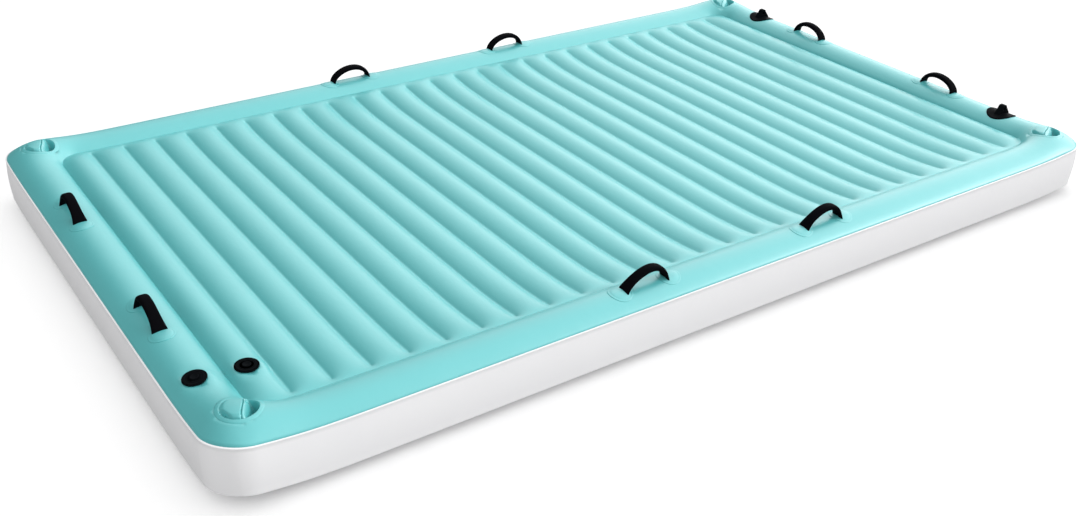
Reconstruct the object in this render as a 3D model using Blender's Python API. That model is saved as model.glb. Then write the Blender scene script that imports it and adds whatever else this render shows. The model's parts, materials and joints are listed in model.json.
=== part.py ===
"""Inflatable pool lounger: a two-chamber air mat with a ribbed deck inside a raised border.

The deck, the side wall and the bottom are thin vinyl sheets welded round the edge. A bulkhead under
the panel line parts the border chamber from the ribbed one, and a folded web inside ties deck and
bottom together along every groove. Eight strap handles, four cup holders, two screw-in valves and two
tow eyes are fixed to the border. Metres, +Z up, +X along the length, origin under the middle.
"""

import math

import bmesh
import bpy
from mathutils import Matrix, Vector

for leftover in list(bpy.data.objects):
    bpy.data.objects.remove(leftover, do_unlink=True)

# Overall sizes
LENGTH = 3.10
WIDTH = 1.85
HEIGHT = 0.185
SHEET = 0.0005
GAP = 0.0003
OVERRUN = 0.02

# Border: from the mat's edge in to the panel line, where the bulkhead is welded
END_BORDER_WIDTH = 0.146
SIDE_BORDER_WIDTH = 0.138
SEAM_CORNER_RADIUS = 0.1
TOP_SEAM_DROP = 0.033
BOTTOM_SEAM_RISE = 0.025
CREST_SHARE = 0.48
OUTER_SLOPE_POWER = 1.35
INNER_SLOPE_POWER = 1.6
STANDING_FLAT_DEPTH = 0.0005
LAP_WIDTH = 0.012
WALL_BULGE = 0.004

# Ribbed panel
RIB_COUNT = 27
PANEL_CORNER_RADIUS = 0.07
PANEL_LINE_DROP = 0.028
RIB_DROP = 0.012
GROOVE_DEPTH = 0.019
GROOVE_TIP_INSET = 0.0245
GROOVE_FADE = 0.05
DECK_SAG = 0.024
SAG_POWER = 4
WEB_LAND = 0.008
WEB_END_GAP = 0.02

# Cup holders
CUP_END_INSET = 0.108
CUP_SIDE_INSET = 0.11
CUP_MOUTH_RADIUS = 0.0455
CUP_FOOT_RADIUS = 0.0415
CUP_DEPTH = 0.105
CUP_STRAIGHT_DEPTH = 0.03
CUP_LIP = 0.001
CUP_FLOOR_RISE = 0.002
CUP_FLOOR_SHEET = 0.001

# Handles: how far each one's middle is from the middle of its side, as a share of that side
SIDE_HANDLE_SHARE = 0.108
END_HANDLE_SHARE = 0.1785
HANDLE_SPAN = 0.138
HANDLE_RISE = 0.043
STRAP_WIDTH = 0.03
STRAP_FOOT_WIDTH = 0.04
STRAP_THICKNESS = 0.011
ARCH_POWER = 2
FLARE_POWER = 6
FOOT_RADIUS = 0.022
PATCH_RADIUS = 0.034
PATCH_SHEET = 0.0012
PATCH_OFFSET = 0.012

# Valves: one on the border and one on the first rib
VALVE_SIDE_INSET = 0.291
VALVE_TILT_DEG = 6
VALVE_RADIUS = 0.03
VALVE_CLEARANCE = 0.0008
PLATE_THICKNESS = 0.0037
PLATE_GROOVE_RADIUS = 0.021
PLATE_GROOVE_WIDTH = 0.002
PLATE_GROOVE_DEPTH = 0.001
COLLAR_RADIUS = 0.02
COLLAR_WALL = 0.0028
COLLAR_DEPTH = 0.018
FLANGE_RADIUS = 0.03
FLANGE_DEPTH = 0.014
FLANGE_THICKNESS = 0.0015
RUNNING_GAP = 0.0004
SKIRT_WALL = 0.0038
SKIRT_DEPTH = 0.013
BORE_RADIUS = 0.0095
SEAT_RADIUS = 0.0085
SEAT_THICKNESS = 0.002
PLUG_RADIUS = 0.011
PLUG_THICKNESS = 0.0022
PLUG_STEM_RADIUS = 0.0078
PLUG_STEM_LENGTH = 0.006
FLAP_RADIUS = 0.0115
FLAP_THICKNESS = 0.0008

# Tow eyes on the far end
TOW_SIDE_INSET = 0.315
TOW_DISC_RADIUS = 0.05
TOW_DISC_THICKNESS = 0.0025
LUG_LENGTH = 0.06
LUG_TOP_LENGTH = 0.02
LUG_HEIGHT = 0.03
LUG_THICKNESS = 0.02
LUG_ROUNDING = 0.004
EYE_RADIUS = 0.006
EYE_HEIGHT = 0.0165

# Facet counts
CORNER_STEPS = 6
LONG_STEPS = 8
SHORT_STEPS = 5
RIB_STEPS = 4
ROUND_STEPS = 24
SMALL_ROUND_STEPS = 16
ARCH_STEPS = 12
BISECTIONS = 40

# Sizes that follow from those above
SEAM_HALF_X = LENGTH / 2 - WALL_BULGE
SEAM_HALF_Y = WIDTH / 2 - WALL_BULGE
PANEL_HALF_X = LENGTH / 2 - END_BORDER_WIDTH
PANEL_HALF_Y = WIDTH / 2 - SIDE_BORDER_WIDTH
RIB_PITCH = 2 * PANEL_HALF_X / RIB_COUNT
END_BORDER = SEAM_HALF_X - PANEL_HALF_X
SIDE_BORDER = SEAM_HALF_Y - PANEL_HALF_Y
END_CREST_X = SEAM_HALF_X - CREST_SHARE * END_BORDER
SIDE_CREST_Y = SEAM_HALF_Y - CREST_SHARE * SIDE_BORDER
TOP_SHARES = (0, 0.25, CREST_SHARE, 0.74, 1)
FLAT_CUT_SHARE = STANDING_FLAT_DEPTH / BOTTOM_SEAM_RISE
FLAT_OUTER_SHARE = CREST_SHARE * (1 - FLAT_CUT_SHARE ** (1 / OUTER_SLOPE_POWER))
FLAT_INNER_SHARE = CREST_SHARE + (1 - CREST_SHARE) * FLAT_CUT_SHARE ** (1 / INNER_SLOPE_POWER)
BOTTOM_SHARES = (0, 0.25, FLAT_OUTER_SHARE, FLAT_INNER_SHARE, 0.74, 1)


def profile_drop(share, seam_drop):
    """How far the border's surface lies behind its crest, at a share of the way from seam to line."""
    if share <= CREST_SHARE:
        return seam_drop * (1 - share / CREST_SHARE) ** OUTER_SLOPE_POWER
    inward = (share - CREST_SHARE) / (1 - CREST_SHARE)
    return PANEL_LINE_DROP * inward**INNER_SLOPE_POWER


def between_rings(share, shares, drop_at):
    """A drop that runs straight from each ring of points to the next, as the flat facets do."""
    for low, high in zip(shares, shares[1:]):
        if share <= high:
            part = (share - low) / (high - low)
            return drop_at(low) + part * (drop_at(high) - drop_at(low))
    return drop_at(shares[-1])


def top_height(share):
    return HEIGHT - between_rings(share, TOP_SHARES, lambda at: profile_drop(at, TOP_SEAM_DROP))


def cut_bottom_drop(share):
    """The bottom's rise over its lowest line, with the strip it stands on cut flat."""
    return max(profile_drop(share, BOTTOM_SEAM_RISE) - STANDING_FLAT_DEPTH, 0)


def bottom_height(share):
    return between_rings(share, BOTTOM_SHARES, cut_bottom_drop)


# A sheet that laps under another at a slope keeps the gap square to both
FIRST_SLOPE_RUN = TOP_SHARES[1] * SIDE_BORDER
FIRST_SLOPE_RISE = top_height(TOP_SHARES[1]) - top_height(0)
LAP_DROP = (SHEET + GAP) * math.hypot(FIRST_SLOPE_RUN, FIRST_SLOPE_RISE) / FIRST_SLOPE_RUN
LAP_SHARE = LAP_WIDTH / SIDE_BORDER


def ring_size(share):
    """Half length, half width and corner radius of the ring at a share from seam to panel line."""
    return (
        SEAM_HALF_X - share * END_BORDER,
        SEAM_HALF_Y - share * SIDE_BORDER,
        SEAM_CORNER_RADIUS + share * (PANEL_CORNER_RADIUS - SEAM_CORNER_RADIUS),
    )


def ring_points(half_x, half_y, radius, height):
    """Points of a rounded rectangle, anticlockwise from above, with even steps on each stretch."""
    corners = []
    for index, (side_x, side_y) in enumerate(((1, -1), (1, 1), (-1, 1), (-1, -1))):
        centre = Vector((side_x * (half_x - radius), side_y * (half_y - radius), height))
        for step in range(CORNER_STEPS + 1):
            turn = math.pi / 2 * (index - 1 + step / CORNER_STEPS)
            corners.append(centre + radius * Vector((math.cos(turn), math.sin(turn), 0)))
    points = []
    per_corner = CORNER_STEPS + 1
    for index in range(4):
        arc = corners[index * per_corner : (index + 1) * per_corner]
        following = corners[(index + 1) * per_corner % len(corners)]
        steps = SHORT_STEPS if index % 2 == 0 else LONG_STEPS
        points += arc
        points += [arc[-1].lerp(following, step / steps) for step in range(1, steps)]
    return points


def share_at(x, y):
    """The share whose ring passes through a place on the border."""
    low, high = 0.0, 1.0
    for _ in range(BISECTIONS):
        share = (low + high) / 2
        half_x, half_y, radius = ring_size(share)
        over_x = max(abs(x) - half_x + radius, 0)
        over_y = max(abs(y) - half_y + radius, 0)
        outside = math.hypot(over_x, over_y) > radius
        low, high = (low, share) if outside else (share, high)
    return (low + high) / 2


def paint(name, colour, roughness, metallic=0.0):
    material = bpy.data.materials.new(name)
    material.use_nodes = True
    shader = material.node_tree.nodes["Principled BSDF"]
    shader.inputs["Base Color"].default_value = (*colour, 1)
    shader.inputs["Roughness"].default_value = roughness
    shader.inputs["Metallic"].default_value = metallic
    return material


TEAL_VINYL = paint("teal_vinyl", (0.25, 0.66, 0.68), 0.45)
WHITE_VINYL = paint("white_vinyl", (0.86, 0.86, 0.87), 0.45)
BLACK_STRAP = paint("black_strap", (0.012, 0.013, 0.016), 0.5)
BLACK_PLASTIC = paint("black_plastic", (0.015, 0.016, 0.018), 0.4)


def add_object(name, mesh, material, parent=None, smooth_angle_deg=35):
    data = bpy.data.meshes.new(name)
    mesh.to_mesh(data)
    mesh.free()
    data.materials.append(material)
    data.shade_smooth()
    data.set_sharp_from_angle(angle=math.radians(smooth_angle_deg))
    piece = bpy.data.objects.new(name, data)
    piece.parent = parent
    bpy.context.scene.collection.objects.link(piece)
    return piece


def as_helper(piece):
    piece.hide_render = True
    piece.display_type = "WIRE"
    return piece


def add_frame(name, place, turn_deg=0.0, tilt_deg=0.0):
    """An empty that carries one group of pieces."""
    frame = bpy.data.objects.new(name, None)
    frame.location = place
    frame.rotation_euler = (0, math.radians(tilt_deg), math.radians(turn_deg))
    bpy.context.scene.collection.objects.link(frame)
    return frame


def thicken(piece, thickness, offset):
    shell = piece.modifiers.new("thickness", "SOLIDIFY")
    shell.thickness = thickness
    shell.offset = offset
    shell.use_even_offset = True


def combine(piece, other, operation):
    join = piece.modifiers.new(f"{operation.lower()}_{other.name}", "BOOLEAN")
    join.operation = operation
    join.object = other
    join.solver = "EXACT"


def join_rings(mesh, rings):
    """Quads between closed rings of equal count, the first ring outermost."""
    for outer, inner in zip(rings, rings[1:]):
        for index in range(len(outer)):
            after = (index + 1) % len(outer)
            mesh.faces.new((outer[index], outer[after], inner[after], inner[index]))


def zip_rings(mesh, outer, inner):
    """Triangles between two closed rings of unlike count, always across the shorter diagonal."""
    start = min(range(len(inner)), key=lambda place: (inner[place].co - outer[0].co).length)
    inner = inner[start:] + inner[:start]
    outer_at, inner_at = 0, 0
    while outer_at < len(outer) or inner_at < len(inner):
        here, there = outer[outer_at % len(outer)], inner[inner_at % len(inner)]
        outer_next = outer[(outer_at + 1) % len(outer)]
        inner_next = inner[(inner_at + 1) % len(inner)]
        outer_shorter = (outer_next.co - there.co).length <= (inner_next.co - here.co).length
        if inner_at == len(inner) or (outer_at < len(outer) and outer_shorter):
            mesh.faces.new((here, outer_next, there))
            outer_at += 1
        else:
            mesh.faces.new((here, inner_next, there))
            inner_at += 1


def rib_height(x, crest, sense, shift):
    """Height over the ribs: a round crest in the middle of each pitch, falling to the grooves."""
    across = (x / RIB_PITCH + shift) % 1
    from_crest = abs(across - 0.5) * 2
    return crest - sense * GROOVE_DEPTH * from_crest**2


def deck_sag(x):
    """How far the deck's ribs hang below those at its ends, most in the middle of the length."""
    return DECK_SAG * max(1 - (abs(x) / (PANEL_HALF_X - RIB_PITCH)) ** SAG_POWER, 0)


def panel_grid(mesh, crest, sense, shift):
    """The ribbed panel inside its rim: columns across the ribs and rows along them."""
    half_x = PANEL_HALF_X - RIB_PITCH / RIB_STEPS
    half_y = PANEL_HALF_Y - GROOVE_TIP_INSET
    radius = PANEL_CORNER_RADIUS - GROOVE_TIP_INSET
    rim = crest - sense * GROOVE_DEPTH / 4
    columns = []
    for index in range(1, RIB_COUNT * RIB_STEPS):
        x = -PANEL_HALF_X + index * RIB_PITCH / RIB_STEPS
        over = max(abs(x) - half_x + radius, 0)
        end = half_y - radius + math.sqrt(max(radius**2 - over**2, 0))
        ridge = rib_height(x, crest, sense, shift) - (deck_sag(x) if sense > 0 else 0)
        rows = ((-end, rim), (GROOVE_FADE - end, ridge), (end - GROOVE_FADE, ridge), (end, rim))
        columns.append([mesh.verts.new((x, y, height)) for y, height in rows])
    for left, right in zip(columns, columns[1:]):
        for row in range(len(left) - 1):
            mesh.faces.new((left[row], right[row], right[row + 1], left[row + 1]))
    near = [column[0] for column in columns]
    far = [column[-1] for column in reversed(columns)]
    return near + columns[-1][1:-1] + far + columns[0][-2:0:-1]


def add_sheet(name, material, shares, height_at, crest, sense, shift):
    """One ribbed sheet, open at its seam: border rings, then a rim, then the panel."""
    mesh = bmesh.new()
    rings = []
    for share in shares:
        points = ring_points(*ring_size(share), height_at(share))
        rings.append([mesh.verts.new(point) for point in points])
    join_rings(mesh, rings)
    zip_rings(mesh, rings[-1], panel_grid(mesh, crest, sense, shift))
    if sense < 0:
        bmesh.ops.reverse_faces(mesh, faces=mesh.faces)
    sheet = add_object(name, mesh, material)
    thicken(sheet, SHEET, -1)
    return sheet


def ring_surface(rings):
    mesh = bmesh.new()
    join_rings(mesh, [[mesh.verts.new(point) for point in ring] for ring in rings])
    return mesh


def turned(name, outline, material, parent, steps=ROUND_STEPS):
    """A body of revolution about the parent's Z axis. The outline runs anticlockwise in (r, z)."""
    mesh = bmesh.new()
    loops = []
    for radius, height in outline:
        if radius == 0:
            loops.append([mesh.verts.new((0, 0, height))] * steps)
            continue
        angles = [2 * math.pi * step / steps for step in range(steps)]
        loops.append([
            mesh.verts.new((radius * math.cos(angle), radius * math.sin(angle), height))
            for angle in angles
        ])
    for loop, following in zip(loops, loops[1:] + loops[:1]):
        for step in range(steps):
            after = (step + 1) % steps
            corners = [loop[step], loop[after], following[after], following[step]]
            kept = list(dict.fromkeys(corners))
            if len(kept) > 2:
                mesh.faces.new(kept)
    bmesh.ops.recalc_face_normals(mesh, faces=mesh.faces)
    return add_object(name, mesh, material, parent)


def prism(name, outline, depth, along, material, parent):
    """A closed outline in (u, v) extruded both ways along an axis, X or Y."""
    mesh = bmesh.new()
    ends = []
    for side in (-depth / 2, depth / 2):
        corners = [(side, u, v) if along == "X" else (u, side, v) for u, v in outline]
        ends.append([mesh.verts.new(corner) for corner in corners])
    mesh.faces.new(ends[0])
    mesh.faces.new(ends[1])
    for index in range(len(outline)):
        after = (index + 1) % len(outline)
        mesh.faces.new((ends[0][index], ends[0][after], ends[1][after], ends[1][index]))
    bmesh.ops.recalc_face_normals(mesh, faces=mesh.faces)
    return add_object(name, mesh, material, parent)


def drape(inward, border):
    """Height of the deck under a place, less the crest's height, at an offset inward of the crest."""
    return top_height(CREST_SHARE + inward / border) - HEIGHT


def draped_disc(name, radius, thickness, centre, border, material, parent):
    """A round sheet laid over the border's crest, bent where the deck under it bends."""
    mesh = bmesh.new()
    circle = bmesh.ops.create_circle(
        mesh, cap_ends=True, segments=ROUND_STEPS, radius=radius, matrix=Matrix.Translation(centre)
    )
    del circle
    for share in TOP_SHARES:
        bend = (share - CREST_SHARE) * border
        bmesh.ops.bisect_plane(
            mesh,
            geom=list(mesh.verts) + list(mesh.edges) + list(mesh.faces),
            dist=GAP / 1000,
            plane_co=(0, bend, 0),
            plane_no=(0, 1, 0),
        )
    bmesh.ops.triangulate(mesh, faces=mesh.faces)
    for vertex in mesh.verts:
        vertex.co.z = drape(vertex.co.y, border) + GAP
    if sum(face.normal.z for face in mesh.faces) < 0:
        bmesh.ops.reverse_faces(mesh, faces=mesh.faces)
    disc = add_object(name, mesh, material, parent)
    thicken(disc, thickness, 1)
    return disc


# Sheets and inner walls
RIB_TOP = HEIGHT - RIB_DROP
GROOVE_TOP = RIB_TOP - GROOVE_DEPTH
RIB_BOTTOM = RIB_DROP
GROOVE_BOTTOM = RIB_BOTTOM + GROOVE_DEPTH
top_sheet = add_sheet("top_sheet", TEAL_VINYL, TOP_SHARES, top_height, RIB_TOP, 1, RIB_COUNT / 2)
bottom_sheet = add_sheet(
    "bottom_sheet", WHITE_VINYL, BOTTOM_SHARES, bottom_height, RIB_BOTTOM, -1, (RIB_COUNT + 1) / 2
)


def wall_ring(share, bulge, height):
    half_x, half_y, radius = ring_size(share)
    return ring_points(half_x + bulge, half_y + bulge, radius + bulge, height)


WALL_TOP = top_height(0) - LAP_DROP
WALL_FOOT = bottom_height(0) + LAP_DROP
wall_rings = [wall_ring(LAP_SHARE, 0, bottom_height(LAP_SHARE) + LAP_DROP)]
for rise_share in (0, 0.25, 0.5, 0.75, 1):
    bulge = WALL_BULGE * (1 - (2 * rise_share - 1) ** 2)
    wall_rings.append(wall_ring(0, bulge, WALL_FOOT + rise_share * (WALL_TOP - WALL_FOOT)))
wall_rings.append(wall_ring(LAP_SHARE, 0, top_height(LAP_SHARE) - LAP_DROP))
side_wall = add_object("side_wall", ring_surface(wall_rings), WHITE_VINYL)
thicken(side_wall, SHEET, -1)

BULKHEAD_TOP = top_height(1) - LAP_DROP
BULKHEAD_FOOT = bottom_height(1) + LAP_DROP
bulkhead_rings = [wall_ring(1, 0, BULKHEAD_FOOT), wall_ring(1, 0, BULKHEAD_TOP)]
chamber_wall = add_object("chamber_wall", ring_surface(bulkhead_rings), WHITE_VINYL)
thicken(chamber_wall, SHEET, 0)

web_mesh = bmesh.new()
web_half_length = PANEL_HALF_Y - GROOVE_TIP_INSET - GROOVE_FADE - WEB_END_GAP
web_top = GROOVE_TOP - LAP_DROP - SHEET / 2
web_foot = GROOVE_BOTTOM + LAP_DROP + SHEET / 2
web_rows = []
for fold in range(1 - RIB_COUNT, RIB_COUNT):
    for edge in (-WEB_LAND / 2, WEB_LAND / 2):
        x = fold * RIB_PITCH / 2 + edge
        height = web_foot if (fold + RIB_COUNT) % 2 else web_top - deck_sag(x)
        ends = (-web_half_length, web_half_length)
        web_rows.append([web_mesh.verts.new((x, y, height)) for y in ends])
for left, right in zip(web_rows, web_rows[1:]):
    web_mesh.faces.new((left[0], right[0], right[1], left[1]))
folded_web = add_object("folded_web", web_mesh, WHITE_VINYL)
thicken(folded_web, SHEET, 0)

# Cup holders: a welded sleeve and a round floor in each corner of the border
cup_straight_foot = HEIGHT - CUP_STRAIGHT_DEPTH
cup_foot = HEIGHT - CUP_DEPTH
cup_sides = (("far_right", 1, 1), ("far_left", -1, 1), ("near_left", -1, -1), ("near_right", 1, -1))
for corner, side_x, side_y in cup_sides:
    cup_x = side_x * (LENGTH / 2 - CUP_END_INSET)
    cup_y = side_y * (WIDTH / 2 - CUP_SIDE_INSET)
    cup = add_frame(f"cup_{corner}_frame", (cup_x, cup_y, 0))
    sleeve_mesh = bmesh.new()
    sleeve_rings = []
    for radius, height in ((CUP_FOOT_RADIUS, cup_foot), (CUP_MOUTH_RADIUS, cup_straight_foot),
                           (CUP_MOUTH_RADIUS, None)):
        ring = []
        for step in range(ROUND_STEPS):
            angle = 2 * math.pi * step / ROUND_STEPS
            x, y = radius * math.cos(angle), radius * math.sin(angle)
            deck = top_height(share_at(cup_x + x, cup_y + y)) + CUP_LIP
            ring.append(sleeve_mesh.verts.new((x, y, deck if height is None else height)))
        sleeve_rings.append(ring)
    join_rings(sleeve_mesh, sleeve_rings)
    sleeve = add_object(f"cup_{corner}_sleeve", sleeve_mesh, TEAL_VINYL, cup)
    thicken(sleeve, SHEET, -1)
    floor_radius = CUP_FOOT_RADIUS - SHEET - GAP
    floor_low = cup_foot + CUP_FLOOR_RISE
    floor_outline = ((0, floor_low), (floor_radius, floor_low),
                     (floor_radius, floor_low + CUP_FLOOR_SHEET), (0, floor_low + CUP_FLOOR_SHEET))
    turned(f"cup_{corner}_floor", floor_outline, TEAL_VINYL, cup)
    mouth_radius = CUP_MOUTH_RADIUS + GAP
    mouth_outline = ((0, cup_straight_foot), (mouth_radius, cup_straight_foot),
                     (mouth_radius, HEIGHT + OVERRUN), (0, HEIGHT + OVERRUN))
    mouth = as_helper(turned(f"cup_{corner}_mouth", mouth_outline, TEAL_VINYL, cup))
    combine(top_sheet, mouth, "DIFFERENCE")

# Handles: a strap arch on two fixed feet, each welded down under a round patch
HINGE_RISE = GAP + PATCH_SHEET
FOOT_SINK = PATCH_SHEET / 2


def band_mesh(border):
    """The whole strap as a flat band along its arch, wider at the feet, which follow the deck."""
    mesh = bmesh.new()
    stations = []
    for step in range(ARCH_STEPS + 1):
        turn = math.pi * step / ARCH_STEPS
        lean = -math.cos(turn)
        u, w = HANDLE_SPAN / 2 * lean, HANDLE_RISE * (1 - abs(lean) ** ARCH_POWER)
        slope = -HANDLE_RISE * ARCH_POWER * abs(lean) ** (ARCH_POWER - 1) * math.copysign(1, lean)
        normal = Vector((-slope, HANDLE_SPAN / 2)).normalized() * STRAP_THICKNESS / 2
        half = (STRAP_WIDTH + (STRAP_FOOT_WIDTH - STRAP_WIDTH) * abs(lean) ** FLARE_POWER) / 2
        at_foot = step in (0, ARCH_STEPS)
        station = []
        for side, across in ((1, -half), (1, 0), (1, half), (-1, half), (-1, 0), (-1, -half)):
            sole = drape(across, border) + GAP + FOOT_SINK
            height = sole if at_foot else max(w + side * normal.y, sole + PATCH_SHEET)
            station.append(mesh.verts.new((u + side * normal.x, across, height)))
        stations.append(station)
    for before, after in zip(stations, stations[1:]):
        for index in range(6):
            beyond = (index + 1) % 6
            mesh.faces.new((before[index], before[beyond], after[beyond], after[index]))
    for station in (stations[0], stations[-1]):
        mesh.faces.new((station[0], station[1], station[4], station[5]))
        mesh.faces.new((station[1], station[2], station[3], station[4]))
    bmesh.ops.recalc_face_normals(mesh, faces=mesh.faces)
    bmesh.ops.triangulate(mesh, faces=mesh.faces)
    return mesh


def dome_outline(radius):
    """A half round on a skirt that reaches below the deck."""
    low = -FOOT_RADIUS
    points = [(-radius, low), (radius, low)]
    for step in range(SMALL_ROUND_STEPS + 1):
        turn = math.pi * step / SMALL_ROUND_STEPS
        points.append((radius * math.cos(turn), HINGE_RISE + radius * math.sin(turn)))
    return points


def add_handle(name, place, turn_deg, border):
    frame = add_frame(f"{name}_frame", (*place, HEIGHT), turn_deg)
    strap = add_object(f"{name}_strap", band_mesh(border), BLACK_STRAP, frame)
    cutter_length = HANDLE_SPAN + 2 * OVERRUN
    parting = prism(f"{name}_parting", dome_outline(FOOT_RADIUS + GAP), cutter_length, "X",
                    BLACK_STRAP, frame)
    combine(strap, as_helper(parting), "DIFFERENCE")
    for side, tag in ((-1, "a"), (1, "b")):
        patch_centre = Vector((side * (HANDLE_SPAN / 2 + PATCH_OFFSET), 0, 0))
        patch = draped_disc(f"{name}_patch_{tag}", PATCH_RADIUS, PATCH_SHEET, patch_centre, border,
                            TEAL_VINYL, frame)
        foot = as_helper(
            add_object(f"{name}_foot_{tag}", band_mesh(border), BLACK_STRAP, frame)
        )
        keep = prism(f"{name}_foot_{tag}_keep", dome_outline(FOOT_RADIUS), HANDLE_SPAN / 2, "X",
                     BLACK_STRAP, frame)
        keep.location = (side * HANDLE_SPAN / 2, 0, 0)
        combine(foot, as_helper(keep), "INTERSECT")
        patch.data.materials.append(BLACK_STRAP)
        combine(patch, foot, "UNION")


for tag, share in (("left", -SIDE_HANDLE_SHARE), ("right", SIDE_HANDLE_SHARE)):
    along = share * LENGTH
    add_handle(f"near_{tag}_handle", (along, -SIDE_CREST_Y), 0, SIDE_BORDER)
    add_handle(f"far_{tag}_handle", (along, SIDE_CREST_Y), 180, SIDE_BORDER)
for tag, share in (("near", -END_HANDLE_SHARE), ("far", END_HANDLE_SHARE)):
    along = share * WIDTH
    add_handle(f"right_{tag}_handle", (END_CREST_X, along), 90, END_BORDER)
    add_handle(f"left_{tag}_handle", (-END_CREST_X, along), 270, END_BORDER)

# Valves: a socket under the deck, a screw-in body with a one-way flap, and a hinged plug
PLATE_TOP = VALVE_CLEARANCE + PLATE_THICKNESS
SKIRT_RADIUS = COLLAR_RADIUS - COLLAR_WALL - RUNNING_GAP


def add_valve(name, place, tilt_deg):
    frame = add_frame(f"{name}_frame", place, 0, tilt_deg)
    bore = COLLAR_RADIUS - COLLAR_WALL
    collar_top = VALVE_CLEARANCE - GAP
    socket = (
        (bore, -COLLAR_DEPTH), (COLLAR_RADIUS, -COLLAR_DEPTH),
        (COLLAR_RADIUS, -FLANGE_DEPTH - FLANGE_THICKNESS),
        (FLANGE_RADIUS, -FLANGE_DEPTH - FLANGE_THICKNESS), (FLANGE_RADIUS, -FLANGE_DEPTH),
        (COLLAR_RADIUS, -FLANGE_DEPTH), (COLLAR_RADIUS, collar_top), (bore, collar_top),
    )
    turned(f"{name}_socket", socket, BLACK_PLASTIC, frame)
    chamfer = PLATE_THICKNESS / 4
    groove_out = PLATE_GROOVE_RADIUS
    groove_in = PLATE_GROOVE_RADIUS - PLATE_GROOVE_WIDTH
    seat_top = -SKIRT_DEPTH + SEAT_THICKNESS
    body = (
        (SEAT_RADIUS, -SKIRT_DEPTH), (SKIRT_RADIUS, -SKIRT_DEPTH),
        (SKIRT_RADIUS, VALVE_CLEARANCE), (VALVE_RADIUS, VALVE_CLEARANCE),
        (VALVE_RADIUS, PLATE_TOP - chamfer), (VALVE_RADIUS - chamfer, PLATE_TOP),
        (groove_out, PLATE_TOP), (groove_out, PLATE_TOP - PLATE_GROOVE_DEPTH),
        (groove_in, PLATE_TOP - PLATE_GROOVE_DEPTH), (groove_in, PLATE_TOP),
        (BORE_RADIUS, PLATE_TOP), (BORE_RADIUS, VALVE_CLEARANCE),
        (SKIRT_RADIUS - SKIRT_WALL, VALVE_CLEARANCE - PLATE_THICKNESS),
        (SKIRT_RADIUS - SKIRT_WALL, seat_top), (SEAT_RADIUS, seat_top),
    )
    turned(f"{name}_body", body, BLACK_PLASTIC, frame)
    plug_low = PLATE_TOP + GAP
    plug_top = plug_low + PLUG_THICKNESS
    plug_middle = plug_low + PLUG_THICKNESS / 2
    plug_frame = add_frame(f"{name}_plug_hinge", (-PLUG_RADIUS, 0, plug_middle))
    plug_frame.parent = frame
    plug = (
        (0, -PLUG_STEM_LENGTH), (PLUG_STEM_RADIUS, -PLUG_STEM_LENGTH), (PLUG_STEM_RADIUS, 0),
        (PLUG_RADIUS, 0), (PLUG_RADIUS, plug_top - plug_low - chamfer),
        (PLUG_RADIUS - chamfer, plug_top - plug_low), (0, plug_top - plug_low),
    )
    stopper = turned(f"{name}_plug", plug, BLACK_PLASTIC, plug_frame, SMALL_ROUND_STEPS)
    stopper.data.transform(Matrix.Translation((PLUG_RADIUS, 0, plug_low - plug_middle)))
    flap_top = -SKIRT_DEPTH - GAP
    flap_frame = add_frame(f"{name}_flap_hinge", (-FLAP_RADIUS, 0, flap_top))
    flap_frame.parent = frame
    flap = ((0, -FLAP_THICKNESS), (FLAP_RADIUS, -FLAP_THICKNESS), (FLAP_RADIUS, 0), (0, 0))
    leaf = turned(f"{name}_flap", flap, BLACK_PLASTIC, flap_frame, SMALL_ROUND_STEPS)
    leaf.data.transform(Matrix.Translation((FLAP_RADIUS, 0, 0)))
    hole_radius = COLLAR_RADIUS + GAP
    hole = ((0, -COLLAR_DEPTH), (hole_radius, -COLLAR_DEPTH), (hole_radius, OVERRUN), (0, OVERRUN))
    combine(top_sheet, as_helper(turned(f"{name}_hole", hole, TEAL_VINYL, frame)), "DIFFERENCE")


VALVE_Y = VALVE_SIDE_INSET - WIDTH / 2
add_valve("border_valve", (-END_CREST_X, VALVE_Y, HEIGHT), -VALVE_TILT_DEG)
add_valve("rib_valve", (RIB_PITCH / 2 - PANEL_HALF_X, VALVE_Y, RIB_TOP), 0)


# Tow eyes: a moulded disc with a lug across the end of the mat, and a round eye through the lug
def lug_outline():
    """Side view of the lug: straight flanks with a rounded top, down into the disc."""
    foot = -(TOP_SEAM_DROP - TOW_DISC_THICKNESS) / 4
    half, top_half = LUG_LENGTH / 2, LUG_TOP_LENGTH / 2
    points = [(-half, foot), (half, foot), (half, TOW_DISC_THICKNESS)]
    for side in (1, -1):
        for step in range(CORNER_STEPS // 2 + 1):
            turn = math.pi / 2 * step / (CORNER_STEPS // 2)
            turn = turn if side > 0 else math.pi / 2 - turn
            points.append((
                side * (top_half - LUG_ROUNDING + LUG_ROUNDING * math.cos(turn)),
                LUG_HEIGHT - LUG_ROUNDING + LUG_ROUNDING * math.sin(turn),
            ))
    points.append((-half, TOW_DISC_THICKNESS))
    return points


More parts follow.
